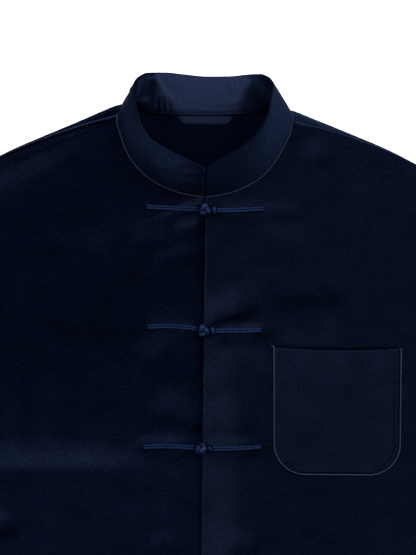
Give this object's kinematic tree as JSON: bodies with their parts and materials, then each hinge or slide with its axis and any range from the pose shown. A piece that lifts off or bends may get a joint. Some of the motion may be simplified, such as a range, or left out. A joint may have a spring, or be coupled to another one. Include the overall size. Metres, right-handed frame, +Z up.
{
  "type": "velvet stand-collar jacket",
  "caption": "Hip-length velvet jacket with a stand collar, knotted cord frogs down the front, set-in sleeves and a piped patch pocket, laid flat with its front up.",
  "frame": {"origin": "middle of the laid jacket's footprint, on the surface it lies on", "axes": "+X across the jacket towards the wearer's left sleeve, +Y from the hem to the collar, +Z up from the surface"},
  "size_m": [1.379, 0.7496, 0.0354],
  "materials": {
    "navy_velvet": "short-pile cotton velvet",
    "navy_collar_cloth": "fine ribbed faille",
    "piping_satin": "satin bias piping",
    "frog_cord": "satin bias cord"
  },
  "bodies": {
    "root": {"back": "navy_velvet", "front_right": "navy_velvet", "front_left": "navy_velvet", "sleeve_right_upper": "navy_velvet", "sleeve_right_under": "navy_velvet", "sleeve_left_upper": "navy_velvet", "sleeve_left_under": "navy_velvet", "pocket": "navy_velvet", "collar": "navy_collar_cloth", "neck_tab": "navy_collar_cloth", "neck_piping_right": "piping_satin", "neck_piping_left": "piping_satin", "pocket_piping": "piping_satin", "frog_1_knot": "frog_cord", "frog_1_loop": "frog_cord", "frog_2_knot": "frog_cord", "frog_2_loop": "frog_cord", "frog_3_knot": "frog_cord", "frog_3_loop": "frog_cord", "frog_4_knot": "frog_cord", "frog_4_loop": "frog_cord", "frog_5_knot": "frog_cord", "frog_5_loop": "frog_cord"}
  },
  "joints": []
}
